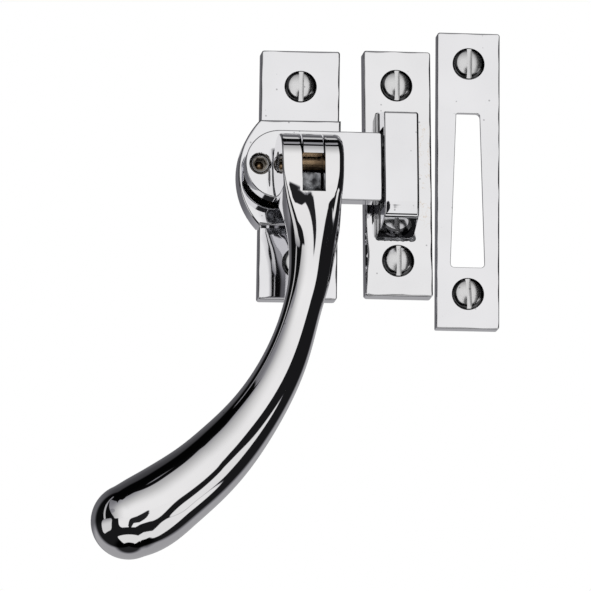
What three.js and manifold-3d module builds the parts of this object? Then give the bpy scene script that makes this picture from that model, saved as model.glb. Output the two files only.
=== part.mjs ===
// Casement window fastener: a locking, reversible, bulb-end fastener with its hook plate and mortice plate.
// Millimetres. Every piece is drawn lying flat: x across the window, y up the window, z out from the wood.
// The group at the end stands it upright, so that +Z is up and the wood lies behind the plates, at +Y.
// The origin is the pivot's axis on the face of the wood.

import * as THREE from 'three';
import { mergeVertices } from 'three/addons/utils/BufferGeometryUtils.js';
import Module from 'manifold-3d';

// Backplate, on the opening sash
const BACKPLATE = { halfWidth: 10.25, halfHeight: 32.9, thickness: 4.3 };
const CENTRE_BLOCK = { halfHeight: 13.9, top: 6.5, lobeEdge: -10.6, lobeReach: -16.1 };
const PIVOT_BORE = { radius: 4.2, recessRadius: 6.8, recessDepth: 3 };
const LOCK_SEAT_DEPTH = 0.8;

// Latch arm, turning on the pivot
const ARM = { halfHeight: 9, tailCentre: -6.4, tongueEnd: 19.3, back: 10.4, front: 15.6, corner: 0.8 };
const BOSS = { radius: 7, back: 7.7 };
const LOCK_SCREW = { x: -11.6, radius: 2.45, boreRadius: 2.75, back: 10.5, front: 15 };
const SOCKET = { radius: 1.75, depth: 2.6 };

// Pivot stack behind and inside the arm
const SPINDLE = { radius: 3.7, top: 12.7, headRadius: 6.2, headBack: 0.4, headFront: 1.6 };
const SPRING_WASHER = { outer: 6.2, inner: 4, back: 1.9, front: 2.7 };
const FRICTION_WASHER = { outer: 7.8, inner: 4.2, back: 6.6, front: 7.4 };

// Handle and its cross pin
const PIN_Y = -1.5;
const PIN_Z = 23.5;
const EAR = { radius: 7.5, halfWidth: 8, edge: 0.7 };
const SLOT_HALF_WIDTH = 2.9;
const SLOT_FLOOR = -10.9;
const LUG_HALF_WIDTH = 2.6;
const LUG = { radius: 7.5, coreRadius: 4.4, lipRise: 2.3, webHalfHeight: 5.5 };
const PIN = { radius: 2.3, boreRadius: 2.6, left: -4.8, right: 6 };
const SET_SCREW = { outer: -7.6, inner: -5.1 };
const EAR_BORE_END = 6.3;

// Centre line of the handle, as x, y and half the width across, from the pin to the middle of the bulb
const HANDLE_LINE = [
  [0, PIN_Y, 8],
  [0.2, -10, 7.7],
  [0.7, -18.7, 6.75],
  [0.25, -26, 5.8],
  [-0.5, -32, 5.3],
  [-1.9, -38, 4.95],
  [-4, -45.4, 5.1],
  [-6.7, -52.8, 5.6],
  [-10.9, -61.1, 6.2],
  [-16.1, -68.9, 7],
  [-22, -76, 7.95],
  [-28.6, -82.5, 8.65],
  [-35.8, -88.2, 9.4],
  [-43.2, -93.2, 9.85],
  [-46.4, -94.7, 9.5],
];
const SQUARE_END = -28;
const HANDLE_STEPS = 34;
const HANDLE_SIDES = 24;

// Hook plate, on the fixed frame, with the hook block brazed to it
const HOOK_PLATE = { left: 16.95, right: 34.45, bottom: -31.55, top: 33.35, thickness: 5 };
const HOOK_BLOCK = { left: 20, right: 29.5, top: 14.2, foot: -16.9, nose: -13.1, front: 17.3, corner: 1.2 };
const POCKET = { right: 24.8, top: 10.6, back: 9.9, front: 16.1 };

// Mortice plate, let into the frame's edge instead of the hook plate
const MORTICE_PLATE = { left: 36, right: 52.45, bottom: -39.45, top: 39.1, thickness: 3.6 };
const MORTICE_SLOT = { top: 17.5, bottom: -23.2, centre: 43.85, topHalfWidth: 2.9, bottomHalfWidth: 4.25 };

// Countersunk, raised-head, slotted wood screws
const SCREW = { headRadius: 4.1, rim: 0.2, dome: 1.15, shankRadius: 2.1, coneDepth: 2.2, length: 19, point: 5 };
const SCREW_SLOT = { halfWidth: 0.6, depth: 1.1 };
const SCREW_HOLE = { topRadius: 4.4, radius: 2.4 };
const SCREW_PLACES = [
  { name: 'backplate_screw_upper', x: 0, y: 23.3, surface: BACKPLATE.thickness, turn: 0 },
  { name: 'backplate_screw_lower', x: 0, y: -23.3, surface: BACKPLATE.thickness, turn: 8 },
  { name: 'hook_plate_screw_upper', x: 25.4, y: 24.1, surface: HOOK_PLATE.thickness, turn: 0 },
  { name: 'hook_plate_screw_lower', x: 25.4, y: -22.3, surface: HOOK_PLATE.thickness, turn: 0 },
  { name: 'mortice_plate_screw_upper', x: 44.2, y: 30.8, surface: MORTICE_PLATE.thickness, turn: 0 },
  { name: 'mortice_plate_screw_lower', x: 44.2, y: -30.3, surface: MORTICE_PLATE.thickness, turn: -20 },
];

const BEYOND = 30;
const ROUND_SIDES = 28;

const CHROME = { color: 0xd9dadd, roughness: 0.06, metalness: 1 };
const SCREW_CHROME = { color: 0xc6c8cc, roughness: 0.12, metalness: 1 };
const STEEL = { color: 0x8d8f92, roughness: 0.4, metalness: 1 };
const BRASS = { color: 0xa6855a, roughness: 0.35, metalness: 1 };

const wasm = await Module();
wasm.setup();

// Turns a closed three.js geometry into a solid that can be joined and cut.
function toSolid(geometry) {
  geometry.deleteAttribute('normal');
  geometry.deleteAttribute('uv');
  const merged = mergeVertices(geometry, 1e-4);
  const mesh = new wasm.Mesh({
    numProp: 3,
    vertProperties: new Float32Array(merged.attributes.position.array),
    triVerts: new Uint32Array(merged.index.array),
  });
  return new wasm.Manifold(mesh);
}

function toGeometry(solid) {
  const mesh = solid.getMesh();
  const geometry = new THREE.BufferGeometry();
  geometry.setAttribute('position', new THREE.BufferAttribute(mesh.vertProperties, 3));
  geometry.setIndex(new THREE.BufferAttribute(mesh.triVerts, 1));
  geometry.computeVertexNormals();
  return geometry;
}

// A flat outline in x and y, raised from one height to another.
function prism(outline, back, front) {
  const options = { depth: front - back, bevelEnabled: false, curveSegments: 14 };
  return toSolid(new THREE.ExtrudeGeometry(outline, options).translate(0, 0, back));
}

// An outline whose x is height above the wood and whose y is up the window, run from left to right.
function sidewaysPrism(outline, left, right) {
  const options = { depth: right - left, bevelEnabled: false, curveSegments: 14 };
  const geometry = new THREE.ExtrudeGeometry(outline, options);
  return toSolid(geometry.rotateY(-Math.PI / 2).translate(right, 0, 0));
}

function box(left, right, bottom, top, back, front) {
  const geometry = new THREE.BoxGeometry(right - left, top - bottom, front - back);
  return toSolid(geometry.translate((left + right) / 2, (bottom + top) / 2, (back + front) / 2));
}

// A round bar standing out from the wood. A different back radius makes it a cone.
function post(x, y, radius, back, front, backRadius = radius) {
  const geometry = new THREE.CylinderGeometry(radius, backRadius, front - back, ROUND_SIDES);
  return toSolid(geometry.rotateX(Math.PI / 2).translate(x, y, (back + front) / 2));
}

// A round bar across the window, on the handle's pin axis.
function crossBar(radius, left, right, sides = ROUND_SIDES) {
  const geometry = new THREE.CylinderGeometry(radius, radius, right - left, sides);
  return toSolid(geometry.rotateZ(Math.PI / 2).translate((left + right) / 2, PIN_Y, PIN_Z));
}

// A body of rings joined side to side, each listed anticlockwise about the way they run, closed by a fan
// to a middle point at each end.
function loft(rings, startPoint, endPoint) {
  const sides = rings[0].length;
  const points = [...rings.flat(), startPoint, endPoint];
  const faces = [];
  for (let ring = 0; ring < rings.length - 1; ring += 1) {
    for (let side = 0; side < sides; side += 1) {
      const a = ring * sides + side;
      const b = ring * sides + ((side + 1) % sides);
      faces.push(a, b, a + sides, b, b + sides, a + sides);
    }
  }
  const start = points.length - 2;
  const lastRing = (rings.length - 1) * sides;
  for (let side = 0; side < sides; side += 1) {
    const next = (side + 1) % sides;
    faces.push(start, next, side);
    faces.push(start + 1, lastRing + side, lastRing + next);
  }
  const geometry = new THREE.BufferGeometry().setFromPoints(points);
  geometry.setIndex(faces);
  return toSolid(geometry);
}

function screwHole(x, y, surface) {
  const cone = post(x, y, SCREW_HOLE.topRadius, surface - SCREW.coneDepth, surface + 0.01, SCREW_HOLE.radius);
  return cone.add(post(x, y, SCREW_HOLE.radius, -1, surface + 1));
}

function drill(plate, prefix) {
  return SCREW_PLACES.filter((place) => place.name.startsWith(prefix)).reduce(
    (solid, { x, y, surface }) => solid.subtract(screwHole(x, y, surface)),
    plate,
  );
}

// Circle through the lobe's furthest point and its two corners on the centre block.
function lobeArc() {
  const depth = CENTRE_BLOCK.lobeEdge - CENTRE_BLOCK.lobeReach;
  const radius = (CENTRE_BLOCK.halfHeight ** 2 + depth ** 2) / (2 * depth);
  const halfAngle = Math.asin(CENTRE_BLOCK.halfHeight / radius);
  return { centre: CENTRE_BLOCK.lobeReach + radius, radius, halfAngle };
}

function backplate() {
  const { halfWidth, halfHeight, thickness } = BACKPLATE;
  const { centre, radius, halfAngle } = lobeArc();
  const outline = new THREE.Shape();
  outline.moveTo(halfWidth, -CENTRE_BLOCK.halfHeight);
  outline.lineTo(halfWidth, CENTRE_BLOCK.halfHeight);
  outline.absarc(centre, 0, radius, Math.PI - halfAngle, Math.PI + halfAngle, false);
  const flanges = box(-halfWidth, halfWidth, -halfHeight, halfHeight, 0, thickness);
  const plate = drill(flanges.add(prism(outline, 0, CENTRE_BLOCK.top)), 'backplate');
  const lockSeat = post(
    LOCK_SCREW.x, 0, LOCK_SCREW.boreRadius, CENTRE_BLOCK.top - LOCK_SEAT_DEPTH, CENTRE_BLOCK.top + 1,
  );
  return plate
    .subtract(post(0, 0, PIVOT_BORE.radius, -1, CENTRE_BLOCK.top + 1))
    .subtract(post(0, 0, PIVOT_BORE.recessRadius, -1, PIVOT_BORE.recessDepth))
    .subtract(lockSeat);
}

function washer({ outer, inner, back, front }) {
  return post(0, 0, outer, back, front).subtract(post(0, 0, inner, back - 1, front + 1));
}

// A spring washer is split, so a narrow gap is cut out of its ring.
function springWasher() {
  const gap = box(SPRING_WASHER.inner - 1, SPRING_WASHER.outer + 1, -0.5, 0.5, 0, BEYOND);
  return washer(SPRING_WASHER).subtract(gap);
}

function spindle() {
  const head = post(0, 0, SPINDLE.headRadius, SPINDLE.headBack, SPINDLE.headFront);
  return head.add(post(0, 0, SPINDLE.radius, SPINDLE.headFront - 0.5, SPINDLE.top));
}

// The lug that the handle's fork straddles: a round eye, cut back below a lip on its front.
function lug() {
  const { radius, coreRadius, lipRise, webHalfHeight } = LUG;
  const coreAngle = Math.asin(lipRise / coreRadius);
  const lipAngle = Math.asin(lipRise / radius);
  const webAngle = Math.PI - Math.asin(webHalfHeight / radius);
  const root = ARM.front - 1;
  const outline = new THREE.Shape();
  outline.moveTo(root, PIN_Y - coreRadius);
  outline.absarc(PIN_Z, PIN_Y, coreRadius, -Math.PI / 2, coreAngle, false);
  outline.absarc(PIN_Z, PIN_Y, radius, lipAngle, webAngle, false);
  outline.lineTo(root, PIN_Y + webHalfHeight);
  return sidewaysPrism(outline, -LUG_HALF_WIDTH, LUG_HALF_WIDTH);
}

function latchArm() {
  const { halfHeight, tailCentre, tongueEnd, corner } = ARM;
  const outline = new THREE.Shape();
  outline.absarc(tailCentre, 0, halfHeight, Math.PI / 2, Math.PI * 1.5, false);
  outline.lineTo(tongueEnd - corner, -halfHeight);
  outline.absarc(tongueEnd - corner, corner - halfHeight, corner, -Math.PI / 2, 0, false);
  outline.absarc(tongueEnd - corner, halfHeight - corner, corner, 0, Math.PI / 2, false);
  return prism(outline, ARM.back, ARM.front)
    .add(post(0, 0, BOSS.radius, BOSS.back, ARM.back + 1))
    .add(lug())
    .subtract(post(LOCK_SCREW.x, 0, LOCK_SCREW.boreRadius, 0, BEYOND))
    .subtract(post(0, 0, SPINDLE.radius + 0.3, 0, SPINDLE.top + 0.3))
    .subtract(crossBar(PIN.boreRadius, -BEYOND, BEYOND));
}

// One ring of the handle, round at the shaft and square with round corners at the fork.
function handleRing(centre, across, halfWidth, halfDepth, squareness) {
  const ring = [];
  const power = 2 / squareness;
  for (let side = 0; side < HANDLE_SIDES; side += 1) {
    const angle = ((side + 0.5) / HANDLE_SIDES) * Math.PI * 2;
    const u = Math.sign(Math.cos(angle)) * Math.abs(Math.cos(angle)) ** power * halfWidth;
    const v = Math.sign(Math.sin(angle)) * Math.abs(Math.sin(angle)) ** power * halfDepth;
    ring.push(new THREE.Vector3(centre.x + across.x * u, centre.y + across.y * u, PIN_Z + v));
  }
  return ring;
}

function handleShaft() {
  const line = new THREE.CatmullRomCurve3(HANDLE_LINE.map((row) => new THREE.Vector3(...row)));
  const rings = [];
  let along = new THREE.Vector3();
  let across = new THREE.Vector3();
  for (let step = 0; step <= HANDLE_STEPS; step += 1) {
    const centre = line.getPoint(step / HANDLE_STEPS);
    along = line.getTangent(step / HANDLE_STEPS).setZ(0).normalize();
    across = new THREE.Vector3(-along.y, along.x, 0);
    const round = THREE.MathUtils.smoothstep(-centre.y, -PIN_Y, -SQUARE_END);
    const slim = 1 - 0.12 * Math.sin(Math.PI * Math.min(centre.y / -80, 1));
    const halfDepth = Math.min(centre.z * slim, EAR.radius + (centre.z - EAR.radius) * round);
    rings.push(handleRing(centre, across, centre.z, halfDepth, 5 - 3 * round));
  }
  const [x, y, bulbRadius] = HANDLE_LINE[HANDLE_LINE.length - 1];
  const bulb = new THREE.Vector3(x, y, 0);
  for (const angle of [0.3, 0.6, 0.9, 1.2, 1.42]) {
    const centre = bulb.clone().addScaledVector(along, bulbRadius * Math.sin(angle));
    const radius = bulbRadius * Math.cos(angle);
    rings.push(handleRing(centre, across, radius, radius, 2));
  }
  const tip = bulb.clone().addScaledVector(along, bulbRadius).setZ(PIN_Z);
  return loft(rings, new THREE.Vector3(0, PIN_Y, PIN_Z), tip);
}

// The rounded top of the fork, a disc across the window with its two rims taken off.
function forkTop() {
  const { radius, halfWidth, edge } = EAR;
  const profile = [
    [0, -halfWidth], [radius - edge, -halfWidth], [radius, edge - halfWidth],
    [radius, halfWidth - edge], [radius - edge, halfWidth], [0, halfWidth],
  ];
  const geometry = new THREE.LatheGeometry(profile.map((point) => new THREE.Vector2(...point)), 40);
  return toSolid(geometry.rotateZ(Math.PI / 2).translate(0, PIN_Y, PIN_Z));
}

function handle() {
  return handleShaft()
    .add(forkTop())
    .subtract(box(-SLOT_HALF_WIDTH, SLOT_HALF_WIDTH, SLOT_FLOOR, BEYOND, 0, 2 * BEYOND))
    .subtract(crossBar(LOCK_SCREW.boreRadius, -BEYOND, 0))
    .subtract(crossBar(PIN.boreRadius, 0, EAR_BORE_END));
}

function lockScrew() {
  const { x, radius, back, front } = LOCK_SCREW;
  const socket = new THREE.CylinderGeometry(SOCKET.radius, SOCKET.radius, 2 * SOCKET.depth, 6);
  return post(x, 0, radius, back, front).subtract(toSolid(socket.rotateX(Math.PI / 2).translate(x, 0, front)));
}

function pinSetScrew() {
  const body = crossBar(LOCK_SCREW.radius, SET_SCREW.outer, SET_SCREW.inner);
  return body.subtract(crossBar(SOCKET.radius, SET_SCREW.outer - 1, SET_SCREW.outer + 1.6, 6));
}

function hookPlate() {
  const { left, right, bottom, top, thickness } = HOOK_PLATE;
  return drill(box(left, right, bottom, top, 0, thickness), 'hook_plate');
}

// The block leans back at its lower end, and the tongue's pocket opens on the side facing the sash.
function hookBlock() {
  const { left, right, top, foot, nose, front, corner } = HOOK_BLOCK;
  const outline = new THREE.Shape();
  outline.moveTo(HOOK_PLATE.thickness, foot);
  outline.lineTo(front - corner, nose);
  outline.absarc(front - corner, nose + corner, corner, -Math.PI / 2, 0, false);
  outline.absarc(front - corner / 2, top - corner / 2, corner / 2, 0, Math.PI / 2, false);
  outline.lineTo(HOOK_PLATE.thickness, top);
  const pocket = box(left - 1, POCKET.right, -POCKET.top, POCKET.top, POCKET.back, POCKET.front);
  return sidewaysPrism(outline, left, right).subtract(pocket);
}

// The slot for the tongue widens towards its lower end.
function morticePlate() {
  const { left, right, bottom, top, thickness } = MORTICE_PLATE;
  const slot = new THREE.Shape();
  slot.moveTo(MORTICE_SLOT.centre - MORTICE_SLOT.topHalfWidth, MORTICE_SLOT.top);
  slot.lineTo(MORTICE_SLOT.centre - MORTICE_SLOT.bottomHalfWidth, MORTICE_SLOT.bottom);
  slot.lineTo(MORTICE_SLOT.centre + MORTICE_SLOT.bottomHalfWidth, MORTICE_SLOT.bottom);
  slot.lineTo(MORTICE_SLOT.centre + MORTICE_SLOT.topHalfWidth, MORTICE_SLOT.top);
  const plate = box(left, right, bottom, top, 0, thickness).subtract(prism(slot, -1, thickness + 1));
  return drill(plate, 'mortice_plate');
}

function woodScrew({ x, y, surface, turn }) {
  const { headRadius, rim, dome, shankRadius, coneDepth, length, point } = SCREW;
  const profile = [
    [0, -length], [shankRadius, point - length], [shankRadius, -coneDepth], [headRadius, -rim], [headRadius, 0],
  ];
  for (const part of [0.35, 0.65, 0.85, 1]) {
    profile.push([headRadius * Math.sqrt(1 - part ** 2), dome * part]);
  }
  const points = profile.map((row) => new THREE.Vector2(...row));
  const body = toSolid(new THREE.LatheGeometry(points, 20).rotateX(Math.PI / 2));
  const { halfWidth, depth } = SCREW_SLOT;
  const slot = box(-halfWidth, halfWidth, -headRadius * 2, headRadius * 2, dome - depth, dome + 1);
  return body.subtract(slot).rotate([0, 0, turn]).translate([x, y, surface]);
}

function piece(name, solid, finish) {
  const mesh = new THREE.Mesh(toGeometry(solid), new THREE.MeshStandardMaterial(finish));
  mesh.name = name;
  return mesh;
}

const group = new THREE.Group();
group.rotation.x = Math.PI / 2;
group.add(
  piece('backplate', backplate(), CHROME),
  piece('spring_washer', springWasher(), STEEL),
  piece('friction_washer', washer(FRICTION_WASHER), BRASS),
  piece('pivot_spindle', spindle(), STEEL),
  piece('latch_arm', latchArm(), CHROME),
  piece('lock_screw', lockScrew(), STEEL),
  piece('handle', handle(), CHROME),
  piece('handle_pin', crossBar(PIN.radius, PIN.left, PIN.right), BRASS),
  piece('pin_set_screw', pinSetScrew(), STEEL),
  piece('hook_plate', hookPlate(), CHROME),
  piece('hook_block', hookBlock(), CHROME),
  piece('mortice_plate', morticePlate(), CHROME),
);
for (const place of SCREW_PLACES) {
  group.add(piece(place.name, woodScrew(place), SCREW_CHROME));
}

export default group;
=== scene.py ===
"""The looks of a casement window fastener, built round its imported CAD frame.

Sizes are in millimetres and places are written as (across, up, out): across the window, up it, and out from
the wood towards the room. place() turns them into the frame's metres. The camera looks from the room.
"""

import math

import bmesh
import bpy
import numpy as np
from mathutils import Matrix, Vector, noise


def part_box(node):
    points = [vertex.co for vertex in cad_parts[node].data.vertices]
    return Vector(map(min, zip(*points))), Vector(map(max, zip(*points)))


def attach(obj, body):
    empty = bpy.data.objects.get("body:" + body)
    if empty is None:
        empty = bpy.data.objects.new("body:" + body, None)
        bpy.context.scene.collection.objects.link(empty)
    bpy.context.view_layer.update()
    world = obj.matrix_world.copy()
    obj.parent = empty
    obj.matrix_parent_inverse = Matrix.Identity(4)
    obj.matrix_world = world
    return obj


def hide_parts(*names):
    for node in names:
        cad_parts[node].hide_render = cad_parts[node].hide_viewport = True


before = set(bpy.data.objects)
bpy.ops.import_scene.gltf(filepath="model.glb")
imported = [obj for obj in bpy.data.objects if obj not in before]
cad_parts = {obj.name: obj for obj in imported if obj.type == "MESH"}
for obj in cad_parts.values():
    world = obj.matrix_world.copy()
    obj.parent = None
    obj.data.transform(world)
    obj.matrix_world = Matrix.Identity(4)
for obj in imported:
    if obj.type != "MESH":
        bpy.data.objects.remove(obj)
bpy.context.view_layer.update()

MM = 0.001


def box_of(node):
    """The box of a CAD node in millimetres, by the names of its sides."""
    low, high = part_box(node)
    names = ("left", "right", "bottom", "top", "back", "front")
    places = (low.x, high.x, low.z, high.z, -high.y, -low.y)
    return {name: round(value / MM, 2) for name, value in zip(names, places)}


def middle_of(node):
    """The middle of a CAD node's box, as across, up and out."""
    box = box_of(node)
    ends = (("left", "right"), ("bottom", "top"), ("back", "front"))
    return [round((box[low] + box[high]) / 2, 2) for low, high in ends]


# Pivot, cross pin and fork. EAR_EDGES and EAR_DRAFTS are for the right ear, 1, and the left one, -1. The fork
# is rough behind ROUGH_OUT and above ROUGH_UP. GAP_POINTS of a section's points lie between the slot's edges.
_, PIN_UP, PIN_OUT = middle_of("handle_pin")
EAR_RADIUS, EAR_HALF_WIDTH = 7.5, 8.0
EAR_EDGES = {1: 1.8, -1: 0.5}
EAR_DRAFTS = {1: 0.0, -1: 0.035}
EAR_BACK_EDGE, ROUGH_OUT, ROUGH_UP = 1.3, 17.3, -13.0
SLOT_HALF_WIDTH, SLOT_FLOOR, SLOT_EDGE = 2.9, -10.4, 0.22
SLOT_START = SLOT_HALF_WIDTH + SLOT_EDGE
GAP_POINTS = 13
PIN_BORE, SET_SCREW_BORE = 2.6, 2.75
LUG_HALF_WIDTH, LUG_RADIUS, LUG_LIP = 2.6, 7.5, 1.0
LUG_ROOT, LUG_WEB = 14.6, 5.5
LUG_FOOT = [
    (LUG_ROOT, -9.2), (19.5, -9.5), (23.5, -9.8), (24.8, -9.2), (25.4, -7.2), (25.3, -4.5), (24.2, -4.25),
    (22.8, -4.4), (21.0, -5.0), (LUG_ROOT, -5.0),
]

# The handle's centre line from its pin down, as across, up and half the width
HANDLE_LINE = [
    (0.0, PIN_UP, 8.0),
    (0.2, -10.0, 7.7),
    (0.7, -18.7, 6.75),
    (0.25, -26.0, 5.8),
    (-0.5, -32.0, 5.3),
    (-1.9, -38.0, 4.95),
    (-4.0, -45.4, 5.1),
    (-6.7, -52.8, 5.6),
    (-10.9, -61.1, 6.2),
    (-16.1, -68.9, 7.0),
    (-22.0, -76.0, 7.95),
    (-28.6, -82.5, 8.65),
    (-35.8, -88.2, 9.4),
    (-43.2, -93.2, 9.85),
    (-46.4, -94.7, 9.5),
]
RING_GAP = 0.8

# Latch arm, whose tongue is a little longer than the CAD's, and the two grub screws
ARM, LOCK_SCREW = box_of("latch_arm"), box_of("lock_screw")
ARM_TIP, ARM_BACK, ARM_FRONT = ARM["right"] + 0.5, 10.4, 15.6
PIVOT_BORE = 4.0
LOCK_ACROSS = middle_of("lock_screw")[0]
GRUB_RADIUS, GRUB_BORE, GRUB_PITCH = 2.45, 2.75, 0.7
SET_SCREW_BACK, SET_SCREW_FRONT = -5.1, -7.8

# Plates
BACKPLATE, HOOK_PLATE, MORTICE_PLATE = box_of("backplate"), box_of("hook_plate"), box_of("mortice_plate")
FLANGE_OUT, BLOCK_HALF_HEIGHT, LOBE_EDGE = 4.3, 13.9, -10.6
HOOK_BLOCK = {"left": 19.9, "right": 29.6, "front_left": 20.3, "front_right": 29.2}
HOOK_BLOCK_UP = {"top": 14.2, "top_foot": 16.6, "foot": -16.7, "nose": -13.1, "front": 17.3}
BLOCK_CROWN = 0.12
MORTICE_SLOT = {"top": 17.6, "bottom": -23.3, "middle": 44.1, "top_half": 3.1, "bottom_half": 4.5}

# Plates that are a little out of square: the degrees that their sides lean to the right and that their level
# edges rise to it, and the place across that stays put
ASKEW = {"backplate": (1.2, 0.6, 0), "mortice_plate": (0.9, 0, 44.2)}

# Wood screws: the face of the plate that each one holds and its slot's turn in degrees
SCREWS = {
    "backplate_screw_upper": (FLANGE_OUT, 0),
    "backplate_screw_lower": (FLANGE_OUT, 8),
    "hook_plate_screw_upper": (HOOK_PLATE["front"], 0),
    "hook_plate_screw_lower": (HOOK_PLATE["front"], 0),
    "mortice_plate_screw_upper": (MORTICE_PLATE["front"], 0),
    "mortice_plate_screw_lower": (MORTICE_PLATE["front"], 4),
}
# The head's radius, its dome's radius and rise, and the radius beyond which the ring round the head is
# painted with shade
HEAD_RADIUS, HEAD_RING, HEAD_RISE, SHADE_RING_RADIUS = 4.1, 4.4, 1.9, 2.9
SHANK_RADIUS, SCREW_LENGTH, SCREW_POINT = 2.1, 19.0, 5.0
THREAD_PITCH = 1.8

# Stains on the hook plate: an axis, 0 across or 2 up, and where on it they start and where they are strongest
STAIN_EDGES = [(0, 29.2, 30.2), (2, 16, 12), (2, -16, -10)]


def place(across, up, out):
    return Vector((across, -out, up)) * MM


def sideways(out, up, across):
    """place() for an outline that is drawn as seen from the side."""
    return place(across, up, out)


def post_at(across, up):
    """Where a turned piece's points go when its axis stands out from the wood."""
    return lambda radius, angle, out: place(
        across + radius * math.cos(angle), up + radius * math.sin(angle), out
    )


def along_pin(radius, angle, across):
    """Where a turned piece's points go when its axis is the handle's cross pin."""
    return place(across, PIN_UP + radius * math.cos(angle), PIN_OUT + radius * math.sin(angle))


# Meshes


def to_object(name, bm):
    bmesh.ops.remove_doubles(bm, verts=bm.verts, dist=2e-7)
    bmesh.ops.dissolve_degenerate(bm, edges=bm.edges, dist=1e-8)
    bmesh.ops.recalc_face_normals(bm, faces=bm.faces)
    mesh = bpy.data.meshes.new(name)
    bm.to_mesh(mesh)
    bm.free()
    obj = bpy.data.objects.new(name, mesh)
    bpy.context.scene.collection.objects.link(obj)
    return obj


def settle(obj):
    """Applies an object's modifiers."""
    depsgraph = bpy.context.evaluated_depsgraph_get()
    mesh = bpy.data.meshes.new_from_object(obj.evaluated_get(depsgraph), depsgraph=depsgraph)
    obj.modifiers.clear()
    obj.data = mesh


def cut(obj, cutters):
    """Takes the cutters' shapes out of an object."""
    for cutter in cutters:
        difference = obj.modifiers.new(cutter.name, "BOOLEAN")
        difference.operation = "DIFFERENCE"
        difference.object = cutter
    settle(obj)
    for cutter in cutters:
        bpy.data.objects.remove(cutter)


def cut_in_second_material(obj, cutter):
    """Takes the cutter's shape out of an object and gives the cut faces the object's second material."""
    for material in obj.data.materials:
        cutter.data.materials.append(material)
    for polygon in cutter.data.polygons:
        polygon.material_index = 1
    cut(obj, [cutter])


def polish(obj, crisp=38):
    """Shades an object smoothly, but keeps its flat faces flat and its edges over that many degrees crisp."""
    bm = bmesh.new()
    bm.from_mesh(obj.data)
    for face in bm.faces:
        face.smooth = True
    for edge in bm.edges:
        edge.smooth = edge.is_manifold and edge.calc_face_angle(0) < math.radians(crisp)
    bm.to_mesh(obj.data)
    bm.free()
    weighted = obj.modifiers.new("flat_faces", "WEIGHTED_NORMAL")
    weighted.keep_sharp = True
    weighted.weight = 80
    settle(obj)


def skin(bm, rows):
    """Faces between rows of points that each close on themselves."""
    for first, second in zip(rows, rows[1:]):
        for index in range(len(first)):
            after = (index + 1) % len(first)
            bm.faces.new((first[index], first[after], second[after], second[index]))


def loft(name, rings, closed=True):
    """A skin over rings of points. closed fills the first and the last ring."""
    bm = bmesh.new()
    rows = [[bm.verts.new(point) for point in ring] for ring in rings]
    skin(bm, rows)
    if closed:
        bm.faces.new(rows[0])
        bm.faces.new(rows[-1])
    return to_object(name, bm)


def turned(name, profile, spot, sides=64):
    """A turned piece from (radius, along) pairs. spot places its points."""
    angles = [2 * math.pi * side / sides for side in range(sides)]
    rings = [[spot(max(radius, 1e-5), angle, along) for angle in angles] for radius, along in profile]
    return loft(name, rings)


def bar(name, radius, start, end, spot, sides=64):
    """A plain turned piece, for cutting a bore."""
    return turned(name, [(0, start), (radius, start), (radius, end), (0, end)], spot, sides)


def ring_piece(name, profile, spot, sides=64):
    """A turned piece with a hole through it, whose profile of (radius, along) pairs closes on itself."""
    angles = [2 * math.pi * side / sides for side in range(sides)]
    rings = [[spot(radius, angle, along) for angle in angles] for radius, along in profile]
    return loft(name, rings + rings[:1], closed=False)


def rounded(corners):
    """An outline through corners of (x, y, radius): each is an arc, and the sides are in short steps."""
    outline = []
    for before, corner, after in zip(corners[-1:] + corners[:-1], corners, corners[1:] + corners[:1]):
        point = Vector(corner[:2])
        towards = (Vector(before[:2]) - point).normalized()
        away = (Vector(after[:2]) - point).normalized()
        half = towards.angle(away) / 2
        reach = corner[2] / math.tan(half)
        middle = point + (towards + away).normalized() * corner[2] / math.sin(half)
        start = point + towards * reach - middle
        end = point + away * reach - middle
        steps = min(24, max(5, int(4 * corner[2])))
        outline += [middle + start.slerp(end, step / steps) * corner[2] for step in range(steps + 1)]
    return stepped(outline)


def stepped(outline, gap=1.2):
    """The outline with points added along its long sides."""
    points = []
    for point, after in zip(outline, outline[1:] + outline[:1]):
        steps = max(1, round((after - point).length / gap))
        points += [point.lerp(after, step / steps) for step in range(steps)]
    return points


def circle(across, up, radius, sides=64):
    angles = [2 * math.pi * side / sides for side in range(sides)]
    return [Vector((across + radius * math.cos(angle), up + radius * math.sin(angle))) for angle in angles]


def moved_in(outline, inset, uneven=0.0, wear=()):
    """The outline moved in by inset, which varies along it by the share uneven.

    wear has spots of (across, up, spread, depth), where an inset above 0 grows by up to depth.
    """
    points = []
    for before, point, after in zip(outline[-1:] + outline[:-1], outline, outline[1:] + outline[:1]):
        into, out_of = (point - before).normalized(), (after - point).normalized()
        side = Vector((into.y, -into.x))
        normal = (side + Vector((out_of.y, -out_of.x))).normalized()
        amount = inset * (1 + uneven * noise.noise(Vector((point.x, point.y, 0)) * 0.22))
        for across, up, spread, depth in wear:
            distance = (point - Vector((across, up))).length / spread
            amount += depth * (inset > 0) * math.exp(-distance * distance)
        points.append(point - normal * amount / max(normal.dot(side), 0.5))
    return points


def edge_round(radius, out, steps=5):
    """The (inset, out) pairs of a rounded front edge whose face is at out."""
    angles = [math.pi / 2 * step / steps for step in range(steps + 1)]
    return [(radius * (1 - math.cos(a)), out - radius * (1 - math.sin(a))) for a in angles]


def plate_levels(edge, front):
    """The levels of a plate that lies on the wood, with a rounded edge round its face."""
    return [(0.3, 0), (0, 0.3)] + edge_round(edge, front)


def corners_of(box, radii):
    """A plate's corners from the bottom left round to the top left, each with its radius."""
    spots = (("left", "bottom"), ("right", "bottom"), ("right", "top"), ("left", "top"))
    return [(box[across], box[up], radius) for (across, up), radius in zip(spots, radii)]


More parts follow.
